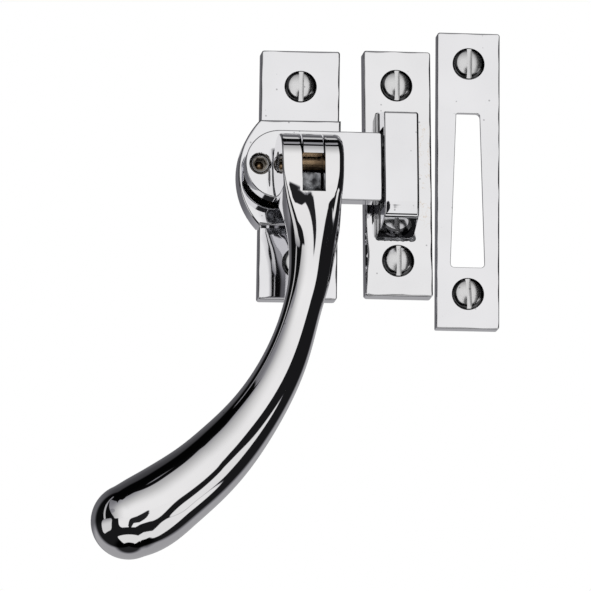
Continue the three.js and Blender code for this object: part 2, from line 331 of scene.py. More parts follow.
def slab(name, outline, levels, holes=(), put=place, uneven=0.0, wear=()):
    """A plate: its outline at each (inset, out) level from back to front, with holes made the same way."""
    bm = bmesh.new()
    ends = [[], []]
    loops = [(outline, levels, uneven, wear)] + [(hole, depths, 0.0, ()) for hole, depths in holes]
    for shape, depths, roughly, worn in loops:
        rows = []
        for inset, out in depths:
            ring = moved_in(shape, inset, roughly, worn)
            rows.append([bm.verts.new(put(point.x, point.y, out)) for point in ring])
        skin(bm, rows)
        for end, row in zip(ends, (rows[0], rows[-1])):
            end += [bm.edges.get((row[i - 1], row[i])) for i in range(len(row))]
    for end in ends:
        bmesh.ops.triangle_fill(bm, use_beauty=True, edges=end)
    return to_object(name, bm)


def countersink(across, up, front):
    """A screw hole through a plate whose face is at front."""
    hole = circle(across, up, 2.4)
    return hole, [(0, 0), (0, front - 2.1), (-1.74, front - 0.12), (-1.82, front)]


def screw_holes(plate):
    """The holes for a plate's wood screws, the upper one first."""
    screws = [name for name in SCREWS if name.startswith(plate)]
    return [countersink(*middle_of(name)[:2], SCREWS[name][0]) for name in screws]


# Materials


class Shader:
    """A node tree that is written one node at a time."""

    def __init__(self, tree):
        self.tree = tree

    def add(self, kind, settings=None, **inputs):
        node = self.tree.nodes.new(kind)
        for name, value in (settings or {}).items():
            setattr(node, name, value)
        for name, value in inputs.items():
            self.feed(node, name.replace("_", " ").title(), value)
        return node

    def feed(self, node, socket, value):
        target = node.inputs[socket]
        if isinstance(value, bpy.types.NodeSocket):
            self.tree.links.new(value, target)
        else:
            target.default_value = value

    def math(self, operation, *values):
        node = self.add("ShaderNodeMath", {"operation": operation})
        for index, value in enumerate(values):
            self.feed(node, index, value)
        return node.outputs[0]

    def spread(self, value, low, high, to_low=0.0, to_high=1.0):
        """value from low to high, eased, as to_low to to_high."""
        node = self.add("ShaderNodeMapRange", {"interpolation_type": "SMOOTHSTEP"})
        for socket, number in (("Value", value), ("From Min", low), ("From Max", high)):
            self.feed(node, socket, number)
        self.feed(node, "To Min", to_low)
        self.feed(node, "To Max", to_high)
        return node.outputs[0]

    def mix(self, share, first, second):
        node = self.add("ShaderNodeMix", {"data_type": "RGBA"})
        self.feed(node, 0, share)
        self.feed(node, 6, first)
        self.feed(node, 7, second)
        return node.outputs[2]

    def noise(self, where, scale, detail=2.0, stretch=(1, 1, 1)):
        mapping = self.add("ShaderNodeMapping", Vector=where, Scale=stretch)
        node = self.add("ShaderNodeTexNoise", Vector=mapping.outputs[0], Scale=scale, Detail=detail)
        return node.outputs["Fac"]


MATERIALS = {}


def new_material(name):
    """Adds a metal to MATERIALS. Gives its shader, its Principled node and each point's place, in metres."""
    material = bpy.data.materials.new(name)
    MATERIALS[name] = material
    material.use_nodes = True
    shader = Shader(material.node_tree)
    principled = material.node_tree.nodes["Principled BSDF"]
    principled.inputs["Metallic"].default_value = 1.0
    where = shader.add("ShaderNodeTexCoord").outputs["Object"]
    return shader, principled, where


def bump(shader, principled, height, distance, strength=1.0):
    node = shader.add("ShaderNodeBump", Height=height, Strength=strength, Distance=distance)
    shader.feed(principled, "Normal", node.outputs["Normal"])


def specks(shader, where, scale, share, size):
    """1 in small scattered spots and 0 elsewhere."""
    cells = shader.add("ShaderNodeTexVoronoi", Vector=where, Scale=scale)
    drawn = shader.add("ShaderNodeSeparateColor", Color=cells.outputs["Color"]).outputs[0]
    few = shader.math("GREATER_THAN", drawn, 1 - share)
    return shader.math("MULTIPLY", few, shader.spread(cells.outputs["Distance"], size, size / 2))


def chrome(name, tint, gloss=(0.015, 0.05), wave=0.00001, pits=0.1, stained=False):
    """Mirror-polished chrome plate with faint wipes, scattered pits and a hand-polished waviness."""
    shader, principled, where = new_material(name)
    cloud = shader.noise(where, 60.0, 3.0)
    dull = tuple(channel * 0.87 for channel in tint)
    colour = shader.mix(cloud, (*tint, 1), (*dull, 1))
    dark = specks(shader, where, 700.0, pits, 0.22)
    colour = shader.mix(shader.math("MULTIPLY", dark, 0.55), colour, (0.16, 0.16, 0.17, 1))
    if stained:
        colour = stain(shader, where, colour)
    shader.feed(principled, "Base Color", colour)
    wipes = shader.noise(where, 900.0, 2.0, (1, 1, 0.12))
    wiped = shader.math("ADD", shader.math("MULTIPLY", wipes, 0.5), cloud)
    shader.feed(principled, "Roughness", shader.spread(wiped, 0.45, 1.1, *gloss))
    ripple = shader.noise(where, 110.0, 1.0)
    bump(shader, principled, shader.math("SUBTRACT", ripple, shader.math("MULTIPLY", dark, 0.4)), wave)


def stain(shader, where, colour):
    """Faint yellow-brown hairlines on the hook plate, to the right of its block."""
    parts = shader.add("ShaderNodeSeparateXYZ", Vector=where).outputs
    near = 1.0
    for axis, none, full in STAIN_EDGES:
        near = shader.math("MULTIPLY", near, shader.spread(parts[axis], none * MM, full * MM))
    line = shader.noise(where, 520.0, 4.0)
    edge = shader.math("ABSOLUTE", shader.math("SUBTRACT", line, 0.56))
    thin = shader.math("MULTIPLY", shader.spread(edge, 0.012, 0.003), near)
    return shader.mix(shader.math("MULTIPLY", thin, 0.55), colour, (0.62, 0.46, 0.28, 1))


def plain_metal(name, light, dark, rough, scale=260.0, depth=0.00004):
    """Unplated metal whose colour, gloss and surface all vary."""
    shader, principled, where = new_material(name)
    grain = shader.noise(where, scale, 6.0)
    share = shader.spread(grain, 0.3, 0.7)
    shader.feed(principled, "Base Color", shader.mix(share, (*dark, 1), (*light, 1)))
    shader.feed(principled, "Roughness", shader.spread(grain, 0.3, 0.7, rough * 1.25, rough * 0.8))
    bump(shader, principled, grain, depth)


chrome("polished_chrome", (0.86, 0.86, 0.885))
chrome("stained_chrome", (0.86, 0.86, 0.88), stained=True)
chrome("handle_chrome", (0.87, 0.865, 0.88), pits=0.02, wave=0.0000025)
chrome("screw_chrome", (0.72, 0.72, 0.73), (0.16, 0.28), wave=0.00004, pits=0.3)
# Painted shade: a near-black metal that darkens the ring round each screw's head, the walls of the screws'
# slots and the lower part of the hook block's left side
plain_metal("painted_shade_chrome", (0.12, 0.12, 0.125), (0.02, 0.02, 0.02), 0.16, scale=500.0, depth=0.00005)
plain_metal("casting", (0.36, 0.37, 0.39), (0.05, 0.05, 0.055), 0.42, scale=620.0, depth=0.00022)
plain_metal("spring_steel", (0.56, 0.56, 0.57), (0.34, 0.34, 0.35), 0.32)
plain_metal("blackened_steel", (0.3, 0.28, 0.25), (0.08, 0.07, 0.06), 0.35)
plain_metal("brass", (0.4, 0.28, 0.17), (0.13, 0.085, 0.05), 0.3)


def lay_askew(obj, node):
    """Skews the pieces of the two plates that are a little out of square."""
    for plate, (lean, rise, across) in ASKEW.items():
        if node.startswith(plate):
            skew = Matrix.Identity(4)
            skew[0][2], skew[2][0] = math.tan(math.radians(lean)), math.tan(math.radians(rise))
            middle = Matrix.Translation(place(across, 0, 0))
            obj.data.transform(middle @ skew @ middle.inverted())


def dress(obj, body, node, slot="polished_chrome", material=None, crisp=38):
    """Finishes a piece: shading, material, the body it moves with and the CAD node it stands for."""
    lay_askew(obj, node)
    if not obj.data.materials:
        obj.data.materials.append(MATERIALS[material or slot])
    polish(obj, crisp)
    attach(obj, body)
    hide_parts(node)


# Plates


def backplate():
    """Two flanges and, between them, the raised block with the pivot's bore and a lobe on its left."""
    right, inner = BACKPLATE["right"], BLOCK_HALF_HEIGHT - 1
    upper_hole, lower_hole = screw_holes("backplate")
    for name, low, high, hole in (
        ("backplate_upper_flange", inner, BACKPLATE["top"], upper_hole),
        ("backplate_lower_flange", BACKPLATE["bottom"], -inner, lower_hole),
    ):
        outline = rounded([(-right, low, 0.7), (right, low, 0.7), (right, high, 0.7), (-right, high, 0.7)])
        flange = slab(name, outline, plate_levels(0.55, FLANGE_OUT), [hole], uneven=0.8)
        dress(flange, "fixed_plates", "backplate")
    front = BACKPLATE["front"]
    # The pivot's bore, which is wider behind for the spring washer
    bore = circle(0, 0, PIVOT_BORE + 0.2), [(-2.6, 0), (-2.6, 3), (0, 3), (0, front - 0.2), (-0.2, front)]
    block = slab("backplate_block", lobed_outline(right + 0.15), plate_levels(0.7, front), [bore], uneven=0.5)
    cut(block, [bar("lock_seat", GRUB_BORE, 5.7, 8, post_at(LOCK_ACROSS, 0))])
    dress(block, "fixed_plates", "backplate")


def lobed_outline(right):
    """The raised block's outline: straight at right, with an arc on its left out to the backplate's edge."""
    reach = BACKPLATE["left"]
    depth = LOBE_EDGE - reach
    radius = (BLOCK_HALF_HEIGHT**2 + depth**2) / (2 * depth)
    span = math.asin(BLOCK_HALF_HEIGHT / radius)
    outline = [Vector((right, -BLOCK_HALF_HEIGHT)), Vector((right, BLOCK_HALF_HEIGHT))]
    for step in range(41):
        angle = math.pi - span + 2 * span * step / 40
        outline.append(Vector((reach + radius * (1 + math.cos(angle)), radius * math.sin(angle))))
    return stepped(outline)


def hook_plate():
    outline = rounded(corners_of(HOOK_PLATE, (0.8, 0.7, 0.8, 0.7)))
    levels = plate_levels(0.6, HOOK_PLATE["front"])
    wear = [(HOOK_PLATE["left"], -21, 5.5, 0.55), (HOOK_PLATE["left"], -31, 2.5, -0.2)]
    plate = slab("hook_plate_body", outline, levels, screw_holes("hook_plate"), uneven=0.7, wear=wear)
    dress(plate, "fixed_plates", "hook_plate", "polished_chrome", "stained_chrome")


def hook_block():
    """The block that the tongue hooks behind, with its pocket. It narrows towards a slightly crowned face."""
    up, across = HOOK_BLOCK_UP, HOOK_BLOCK
    foot = HOOK_PLATE["front"] - 0.3
    front, nose = up["front"], up["nose"]
    outline = rounded([
        (foot, up["foot"], 0.7), (front - 1.1, nose, 1.5), (front - 0.25, nose + 2.6, 14.0),
        (front, nose + 6.5, 60.0), (front, up["top"], 0.8), (foot, up["top_foot"], 0.7),
    ])
    left, right = across["left"], across["right"]
    middle, half = (left + right) / 2, (right - left) / 2
    levels = [(inset, left + right - out) for inset, out in reversed(edge_round(0.4, right))]
    steps = np.linspace(0.5 - half, half - 0.5, 9)[1:-1]
    levels += [(BLOCK_CROWN * (step / 8) ** 2, middle + step) for step in steps]
    block = slab("hook_block_body", outline, levels + edge_round(0.75, right), put=sideways)
    front_share = (across["front_right"] - across["front_left"]) / (right - left)
    for vertex in block.data.vertices:
        rise = (-vertex.co.y / MM - foot) / (front - foot)
        offset = vertex.co.x / MM - middle
        vertex.co.x = (middle + offset * (1 + (front_share - 1) * rise)) * MM
    opening = rounded([(9.9, -10.6, 0.8), (16.1, -10.6, 0.8), (16.1, 10.6, 0.8), (9.9, 10.6, 0.8)])
    pocket = slab("pocket", opening, [(0, left - 2), (0, 24.8)], put=sideways)
    block.data.materials.append(MATERIALS["polished_chrome"])
    block.data.materials.append(MATERIALS["casting"])
    cut_in_second_material(block, pocket)
    dress(block, "fixed_plates", "hook_block")


def block_side_shade():
    """A thin dark sheet on the lower part of the hook block's left side: a painted dark reflection."""
    outline = rounded([(4.9, -16.5, 0.2), (9.4, -15.3, 0.2), (9.4, 15.5, 0.2), (4.9, 16.4, 0.2)])
    left = HOOK_BLOCK["left"]
    levels = [(0.1, left - 0.12), (0, left - 0.02), (0, left + 2)]
    side = slab("hook_block_side_shade", outline, levels, put=sideways)
    dress(side, "fixed_plates", "hook_block", "polished_chrome", "painted_shade_chrome")


def braze_and_shade():
    """An uneven dark bead of braze round the foot of the hook block, which also paints shade into the crease
    where the block meets the plate.
    """
    left, right = HOOK_BLOCK["left"] - 0.05, HOOK_BLOCK["right"] + 0.05
    low, high = HOOK_BLOCK_UP["foot"], HOOK_BLOCK_UP["top_foot"]
    corners = [(left, low, 0.5), (right, low, 0.5), (right, high, 0.5), (left, high, 0.5)]
    path = stepped(rounded(corners), 0.25)
    rings = []
    for before, point, after in zip(path[-1:] + path[:-1], path, path[1:] + path[:1]):
        along = (after - before).normalized()
        side = Vector((along.y, -along.x))
        lower_end = max(0.0, min(1.0, (low + 2.5 - point.y) / 2.5))
        lumps = noise.noise(Vector((point.x, point.y, 3)) * 1.9)
        size = 0.16 + lower_end * (0.2 + 0.16 * lumps)
        centre = point + side * (0.1 + 0.1 * lumps) * lower_end
        ring = []
        for step in range(10):
            angle = 2 * math.pi * step / 10
            spot = centre + side * size * math.cos(angle)
            ring.append(place(spot.x, spot.y, HOOK_PLATE["front"] + size * math.sin(angle) * 0.8))
        rings.append(ring)
    bead = loft("hook_block_braze_and_shade", rings + rings[:1], closed=False)
    dress(bead, "fixed_plates", "hook_block", "polished_chrome", "casting")


def mortice_plate():
    slot, front = MORTICE_SLOT, MORTICE_PLATE["front"]
    ends = ((-1, "bottom", 1.0), (1, "bottom", 1.0), (1, "top", 0.7), (-1, "top", 0.5))
    opening = rounded([
        (slot["middle"] + side * slot[end + "_half"], slot[end], radius) for side, end, radius in ends
    ])
    holes = [(opening, [(-0.5, 0), (0.05, front - 0.25), (0, front - 0.1), (-0.15, front)])]
    holes += screw_holes("mortice_plate")
    outline = rounded(corners_of(MORTICE_PLATE, (0.35, 0.7, 0.7, 0.7)))
    plate = slab("mortice_plate_body", outline, plate_levels(0.45, front), holes, uneven=0.7)
    dress(plate, "fixed_plates", "mortice_plate")


# Screws


def wood_screw(name, face, turn):
    """A slotted, raised countersunk wood screw with a cut thread."""
    across, up, _ = middle_of(name)
    tip, core = face - SCREW_LENGTH, SHANK_RADIUS - 0.55
    profile = [
        (0, tip), (0.3, tip + 0.5), (core, tip + SCREW_POINT), (core, face - 7.5),
        (SHANK_RADIUS, face - 7), (SHANK_RADIUS, face - 2.4), (HEAD_RADIUS, face - 0.35),
        (HEAD_RADIUS, face), (3.95, face + 0.15),
    ]
    for angle in np.linspace(0.5, math.pi / 2, 14):
        profile.append((HEAD_RING * math.cos(angle), face + HEAD_RISE * math.sin(angle)))
    screw = turned(name + "_body", profile, post_at(across, up), 72)
    screw.data.materials.append(MATERIALS["screw_chrome"])
    # The second material is painted shade, for the ring round the head and the walls of the slot
    screw.data.materials.append(MATERIALS["painted_shade_chrome"])
    cut_in_second_material(screw, driver_slot(across, up, face, turn))
    paint_head_shade(screw, across, up, face)
    dress(screw, "fixed_plates", name, "screw_chrome")
    thread = helix(
        name + "_thread", post_at(across, up), SHANK_RADIUS - 0.6, SHANK_RADIUS - 0.02,
        tip + 1.2, face - 7.6, THREAD_PITCH, SCREW_POINT - 1.2,
    )
    dress(thread, "fixed_plates", name, "screw_chrome")


def driver_slot(across, up, face, turn):
    """The shape of the slot in a screw's head, turned from upright by turn degrees."""
    outline = [Vector(corner) for corner in ((-6, -0.62), (6, -0.62), (6, 0.62), (-6, 0.62))]
    slot = slab("driver_slot", outline, [(0, 0.3), (0, HEAD_RISE + 2)])
    turned_up = Matrix.Rotation(math.radians(-90 - turn), 4, "Y")
    slot.matrix_world = Matrix.Translation(place(across, up, face)) @ turned_up
    bpy.context.view_layer.update()
    return slot


def paint_head_shade(screw, across, up, face):
    """Paints shade on the ring round a screw's head and on the walls of its slot with the second material,
    and leaves the bottom of its slot the screw's own bright chrome.
    """
    for polygon in screw.data.polygons:
        offset = polygon.center / MM - Vector((across, 0, up))
        ring = -offset.y > face - 0.5 and math.hypot(offset.x, offset.z) > SHADE_RING_RADIUS
        level = abs(polygon.normal.y) > 0.9
        polygon.material_index = int(not level and (ring or polygon.material_index == 1))


def helix(name, spot, root, crest, low, high, pitch, taper=0.0):
    """A thread: a ridge wound round an axis from low to high, growing from its tip over the taper."""
    turns = (high - low) / pitch
    steps = int(turns * 28)
    rings = []
    for step in range(steps + 1):
        along = low + (high - low) * step / steps
        angle = 2 * math.pi * turns * step / steps
        grow = min(1.0, (along - low) / taper + 0.12) if taper else 1.0
        fade = min(1.0, (high - along) / pitch + 0.02)
        inner = root * grow
        outer = inner + (crest - root) * min(grow * 1.5, 1.0) * fade + 0.02
        half = pitch * 0.26
        ridge = (inner - 0.15, -half), (outer, -0.06), (outer, 0.06), (inner - 0.15, half)
        rings.append([spot(radius, angle, along + offset) for radius, offset in ridge])
    return loft(name, rings)


def grub_screw(name, body, spot, back, front, depth, glint=False):
    """A threaded screw without a head, with a bright rim round a six-sided socket of that depth."""
    outwards = math.copysign(1, front - back)
    bottom, lean = front - depth * outwards, 0.35 * outwards
    tip, side = GRUB_RADIUS - 0.5, GRUB_RADIUS - 0.15
    profile = [(0, back), (tip, back), (side, back + lean), (side, front - lean), (tip, front), (0, front)]
    screw = turned(name + "_body", profile, spot, 48)
    cut(screw, [bar("socket", 1.72, bottom, front + lean, spot, 6)])
    dress(screw, body, name, "blackened_steel", crisp=30)
    low, high = min(back, front) + 0.5, max(back, front) - 0.25
    thread = helix(name + "_thread", spot, GRUB_RADIUS - 0.3, GRUB_RADIUS, low, high, GRUB_PITCH)
    dress(thread, body, name, "blackened_steel")
    profile = [(1.9, -0.1), (1.98, 0.25), (2.12, 0.3), (2.2, -0.1)]
    rim = ring_piece(name + "_rim", [(radius, front + lean * share) for radius, share in profile], spot)
    dress(rim, body, name, "blackened_steel", "spring_steel", crisp=60)
    if glint:
        socket_glint(name, body, spot, bottom, lean)


def socket_glint(name, body, spot, bottom, lean):
    """The brass-coloured glint at the bottom of a grub screw's socket."""
    profile = [(0, -1), (1.2, -1), (1.2, 0.3), (0.6, 1.6), (0, 2)]
    glint = turned(name + "_glint", [(radius, bottom + lean * share) for radius, share in profile], spot, 24)
    dress(glint, body, name, "blackened_steel", "brass")


# Latch arm


def latch_arm():
    """The arm's flat plate with a round tail on its left, the boss behind it and the lug in front of it."""
    left, top = ARM["left"], ARM["top"]
    tail = top - 0.01
    outline = rounded([(left, -top, tail), (ARM_TIP, -top, 0.7), (ARM_TIP, top, 0.7), (left, top, tail)])
    levels = [(inset, ARM_FRONT + ARM_BACK - out) for inset, out in reversed(edge_round(0.3, ARM_FRONT))]
    hole = (circle(LOCK_ACROSS, 0, GRUB_BORE), [(0, ARM_BACK), (0, ARM_FRONT - 0.15), (-0.15, ARM_FRONT)])
    plate = slab("latch_arm_plate", outline, levels + edge_round(0.4, ARM_FRONT), [hole], uneven=0.4)
    cut(plate, [bar("pivot_bore", PIVOT_BORE, 7, 13, post_at(0, 0))])
    dress(plate, "arm", "latch_arm")
    back, front = ARM["back"], ARM_BACK + 0.3
    profile = [(PIVOT_BORE, back), (6.7, back), (7.0, back + 0.3), (7.0, front), (PIVOT_BORE, front)]
    boss = ring_piece("latch_arm_boss", profile, post_at(0, 0), 96)
    dress(boss, "arm", "latch_arm")
    lug()


def lug():
    """The hooked eye that holds the cross pin, with an open front, and an unpolished foot below it."""
    lip, lip_inside = math.asin(LUG_LIP / LUG_RADIUS), math.asin(LUG_LIP / PIN_BORE)
    web = math.pi - math.asin(LUG_WEB / LUG_RADIUS)
    outline = [
        Vector((LUG_ROOT, PIN_UP + LUG_WEB)), Vector((LUG_ROOT, PIN_UP - 5.4)), Vector((20.5, PIN_UP - 5.0)),
    ]
    for radius, start, end, steps in (
        (PIN_BORE, math.radians(-105), lip_inside - 2 * math.pi, 40),
        (LUG_RADIUS, lip, web, 44),
    ):
        for step in range(steps + 1):
            angle = start + (end - start) * step / steps
            outline.append(Vector((PIN_OUT + radius * math.cos(angle), PIN_UP + radius * math.sin(angle))))
    half = LUG_HALF_WIDTH
    levels = [(0.12, -half), (0, 0.12 - half), (0, half - 0.12), (0.12, half)]
    eye = slab("latch_arm_lug", outline, levels, put=sideways)
    dress(eye, "arm", "latch_arm")
    below = stepped([Vector(corner) for corner in LUG_FOOT], 0.3)
    foot = slab("latch_arm_lug_foot", below, levels, put=sideways, uneven=2.0)
    dress(foot, "arm", "latch_arm", "polished_chrome", "casting")


# Handle


def natural_spline(knots, values):
    """The smooth curve through values at knots, as a function of place along the knots."""
    gaps = np.diff(knots)
    count = len(knots)
    system, target = np.eye(count), np.zeros((count, values.shape[1]))
    slopes = np.diff(values, axis=0) / gaps[:, None]
    for i in range(1, count - 1):
        system[i, i - 1 : i + 2] = gaps[i - 1], 2 * (gaps[i - 1] + gaps[i]), gaps[i]
        target[i] = 6 * (slopes[i] - slopes[i - 1])
    bends = np.linalg.solve(system, target)

    def at(s):
        i = min(max(int(np.searchsorted(knots, s)) - 1, 0), count - 2)
        gap, a, b = gaps[i], knots[i + 1] - s, s - knots[i]
        return (
            (bends[i] * a**3 + bends[i + 1] * b**3) / (6 * gap)
            + (values[i] / gap - bends[i] * gap / 6) * a
            + (values[i + 1] / gap - bends[i + 1] * gap / 6) * b
        )

    return at


def smooth(value, low, high):
    """0 up to low and 1 from high on, with an eased step between them."""
    share = min(max((value - low) / (high - low), 0.0), 1.0)
    return share * share * (3 - 2 * share)


def quarter_section(width, depth, edge_across, edge_out, blend):
    """The front right quarter of a section, from the slot's edge to the middle of the side.

    blend takes it from a rectangle with round corners, at 0, to an oval, at 1.
    """
    start_angle = math.acos(SLOT_START / width)
    high, low = math.radians(50), math.radians(34)
    points = []
    for step in range(6):
        share = step / 6
        u = SLOT_START + (width - edge_across - SLOT_START) * share
        points.append((u, depth, start_angle + (high - start_angle) * share))
    for step in range(7):
        share = step / 7
        turn = math.pi / 2 * (1 - share)
        u = width - edge_across * (1 - math.cos(turn))
        v = depth - edge_out * (1 - math.sin(turn))
        points.append((u, v, high + (low - high) * share))
    for step in range(12):
        share = step / 11
        points.append((width, (depth - edge_out) * (1 - share), low * (1 - share)))
    return [
        (u + (width * math.cos(angle) - u) * blend, v + (depth * math.sin(angle) - v) * blend)
        for u, v, angle in points
    ]


def half_section(width, depth, edge_across, edge_out, blend, draft=0.0):
    """The right half of a section, from the slot's front edge round its side to the back.

    The side drafts outwards towards the back, where the section is still square.
    """
    quarter = quarter_section(width, depth, edge_across, edge_out, blend)
    back_edge = max(edge_across, EAR_BACK_EDGE), min(max(edge_out, EAR_BACK_EDGE), depth)
    back = quarter_section(width, depth, *back_edge, blend)[:-1]
    half = quarter + [(u, -v) for u, v in reversed(back)]
    slant = draft * (1 - blend) / width**2
    return [(u + slant * u * u * (depth - v), v) for u, v in half]


def slot_edge_points(depth):
    """The slot's wall in one section of the right ear, from back to front, with its small round edges."""
    edge = min(SLOT_EDGE, depth * 0.8)
    near, middle = SLOT_HALF_WIDTH, SLOT_HALF_WIDTH + SLOT_EDGE * 0.3
    inner = [(near, (depth - edge) * (step / 4 - 1)) for step in range(9)]
    return [(middle, -depth + edge * 0.3)] + inner + [(middle, depth - edge * 0.3)]


def gap_points(width, depth, blend, front):
    """The section's points between the slot's edges: left to right in front, or right to left behind."""
    start_angle = math.acos(SLOT_START / width)
    points = []
    for step in range(1, GAP_POINTS + 1):
        share = step / (GAP_POINTS + 1)
        angle = start_angle + (math.pi - 2 * start_angle) * share
        u = SLOT_START * (1 - 2 * share)
        u += (width * math.cos(angle) - u) * blend
        v = depth + (depth * math.sin(angle) - depth) * blend
        points.append((-u, v) if front else (u, -v))
    return points


def whole_section(right, left, width, depth, blend):
    """A section without a slot, from its right half and its left half, which is drawn on the right too."""
    ring = right + gap_points(width, depth, blend, False)
    return ring + [(-u, v) for u, v in reversed(left)] + gap_points(width, depth, blend, True)


def fork_shape(up, edge):
    """The half width, half depth and edge sizes of one ear of the fork at a height above the pin."""
    rise = up - PIN_UP
    depth = math.sqrt(max(EAR_RADIUS**2 - rise**2, 0))
    flat = math.sqrt(max((EAR_RADIUS - edge) ** 2 - rise**2, 0))
    over = max(rise - (EAR_RADIUS - edge), 0)
    width = EAR_HALF_WIDTH - edge + math.sqrt(max(edge**2 - over**2, 0))
    return width, depth, edge, depth - flat, 0


def shaft_shape(up, width, edge=0):
    """The same at a height below the pin, with how far the section has turned from square to round."""
    slim = 1 - 0.12 * math.sin(math.pi * min(up / -80, 1))
    settled = smooth(-up, -PIN_UP, 14)
    depth = EAR_RADIUS + (width * slim - EAR_RADIUS) * settled
    blend = smooth(-up, 4, 27)
    edge += 1.5 * smooth(-up, 4, 20)
    return width, depth, edge, edge, blend


def handle():
    """The handle in one skin: two ears round the pin, a shaft and a bulb end."""
    line = np.array(HANDLE_LINE)
    knots = np.concatenate([[0], np.cumsum(np.hypot(np.diff(line[:, 0]), np.diff(line[:, 1])))])
    curve, length = natural_spline(knots, line), knots[-1]
    bm = bmesh.new()
    ears = top_of_ears(bm)
    shaft = below_pin(bm, ears, curve, length)
    shaft += bulb_end(bm, curve, length)
    for rows in (*ears.values(), shaft):
        skin(bm, rows)
    for rows in ears.values():
        bm.faces.new(rows[0])
    bm.faces.new(shaft[-1])
    slot_floor(bm, ears, shaft[0])
    obj = to_object("handle_body", bm)
    bores = [
        bar("set_screw_bore", SET_SCREW_BORE, -12, 0, along_pin),
        bar("pin_bore", PIN_BORE, -1, 6.3, along_pin),
    ]
    obj.data.materials.append(MATERIALS["handle_chrome"])
    obj.data.materials.append(MATERIALS["casting"])
    cut(obj, bores)
    for polygon in obj.data.polygons:
        if -polygon.center.y < ROUGH_OUT * MM and polygon.center.z > ROUGH_UP * MM:
            polygon.material_index = 1
    dress(obj, "handle", "handle", "handle_chrome", crisp=32)


def top_of_ears(bm):
    """Each ear's rows of points, from its top down to the pin."""
    ears = {1: [], -1: []}
    for step in range(25, 0, -1):
        up = PIN_UP + EAR_RADIUS * math.sin(math.pi / 2 * step / 25)
        for side, edge in EAR_EDGES.items():
            shape = fork_shape(up, edge)
            section = half_section(*shape, EAR_DRAFTS[side]) + slot_edge_points(shape[1])
            ears[side].append([bm.verts.new(place(side * u, up, PIN_OUT + v)) for u, v in section])
    return ears


def below_pin(bm, ears, curve, length):
    """Adds the ears' rows from the pin to the slot's floor, and returns the shaft's rows."""
    floor_at = next(s for s in np.linspace(0, length, 4000) if curve(s)[1] <= SLOT_FLOOR)
    for s in np.linspace(0, floor_at, 15):
        x, up, width = curve(s)
        halves, depth, ring = sections_at(up, width)
        for side, half in halves.items():
            section = [(from_slot(side * u, x, width), v) for u, v in half + slot_edge_points(depth)]
            ears[side].append([bm.verts.new(place(u, up, PIN_OUT + v)) for u, v in section])
    shaft = [floor_ring(bm, ears, ring, x, up)]
    count = round(length / RING_GAP)
    for step in range(count + 1):
        s = length * step / count
        if s > floor_at + RING_GAP / 2:
            x, up, width = curve(s)
            ring = sections_at(up, width)[2]
            shaft.append(row_across(bm, Vector((x, up)), direction(curve, s, length), ring))
    return shaft


def sections_at(up, width):
    """Both halves of the handle's section at a height below the pin, its half depth, and the whole of it."""
    halves = {}
    for side, edge in EAR_EDGES.items():
        halves[side] = half_section(*shaft_shape(up, width, edge), EAR_DRAFTS[side])
    _, depth, _, _, blend = shaft_shape(up, width)
    return halves, depth, whole_section(halves[1], halves[-1], width, depth, blend)


def direction(curve, s, length):
    """Which way the handle's centre line goes at a place along it, across and up."""
    ahead = curve(min(s + 0.05, length)) - curve(max(s - 0.05, 0))
    return Vector((ahead[0], ahead[1])).normalized()


def row_across(bm, middle, along, section):
    """A row of points: a section set at right angles to the handle's centre line."""
    across = Vector((-along.y, along.x))
    spots = [(middle + across * u, PIN_OUT + v) for u, v in section]
    return [bm.verts.new(place(spot.x, spot.y, out)) for spot, out in spots]


def from_slot(u, x, width):
    """Where a point of the fork's section lies across: about x at its sides, but about 0 at the slot."""
    return u + x * max(0, abs(u) - SLOT_START) / (width - SLOT_START)


def floor_ring(bm, ears, ring, x, up):
    """The shaft's first row, which shares the ears' last points where it meets them."""
    outer = len(ring) // 2 - GAP_POINTS
    right, left = ears[1][-1][:outer], ears[-1][-1][:outer]
    front, back = ring[-GAP_POINTS:], ring[outer : outer + GAP_POINTS]
    between = [[bm.verts.new(place(x + u, up, PIN_OUT + v)) for u, v in gap] for gap in (back, front)]
    return right + between[0] + left[::-1] + between[1]


def slot_floor(bm, ears, ring):
    """Closes the bottom of the slot between the ears, as a rough casting."""
    outer = len(ring) // 2 - GAP_POINTS
    right, left = ears[1][-1], ears[-1][-1]
    back, front = ring[outer : outer + GAP_POINTS], ring[-GAP_POINTS:]
    left_side = [left[outer - 1]] + left[outer:] + [left[0]]
    right_side = [right[0]] + right[: outer - 1 : -1] + [right[outer - 1]]
    face = bm.faces.new(back + left_side + front + right_side)
    face.material_index = 1


def bulb_end(bm, curve, length):
    """Rows that close the handle's end as half a ball."""
    x, up, width = curve(length)
    depth = shaft_shape(up, width)[1]
    right = half_section(width, depth, 1, 1, 1)
    section = whole_section(right, right, width, depth, 1)
    along = direction(curve, length, length)
    rows = []
    for step in range(1, 25):
        angle = math.pi / 2 * step / 24
        shrink = max(math.cos(angle), 1e-4)
        middle = Vector((x, up)) + along * width * math.sin(angle)
        rows.append(row_across(bm, middle, along, [(u * shrink, v * shrink) for u, v in section]))
    return rows


# Pivot stack and pin


def small_parts():
    """The cross pin, the pivot's spindle and the two washers on it."""
    profile = [(0, -4.8), (2.0, -4.8), (2.3, -4.5), (2.3, 5.7), (2.0, 6.0), (0, 6.0)]
    pin = turned("handle_pin_body", profile, along_pin, 48)
    dress(pin, "handle", "handle_pin", "brass")
    profile = [
        (0, 0.4), (5.8, 0.4), (6.2, 0.8), (6.2, 1.3), (5.9, 1.6), (3.7, 1.6),
        (3.7, 12.4), (3.4, 12.7), (0, 12.7),
    ]
    spindle = turned("pivot_spindle_body", profile, post_at(0, 0), 72)
    dress(spindle, "arm", "pivot_spindle", "spring_steel")
    dress(split_washer(), "fixed_plates", "spring_washer", "spring_steel")
    profile = [(4.2, 6.7), (4.3, 6.6), (7.7, 6.6), (7.8, 6.7), (7.8, 7.3), (7.7, 7.4), (4.3, 7.4), (4.2, 7.3)]
    friction = ring_piece("friction_washer_body", profile, post_at(0, 0), 72)
    dress(friction, "fixed_plates", "friction_washer", "brass")


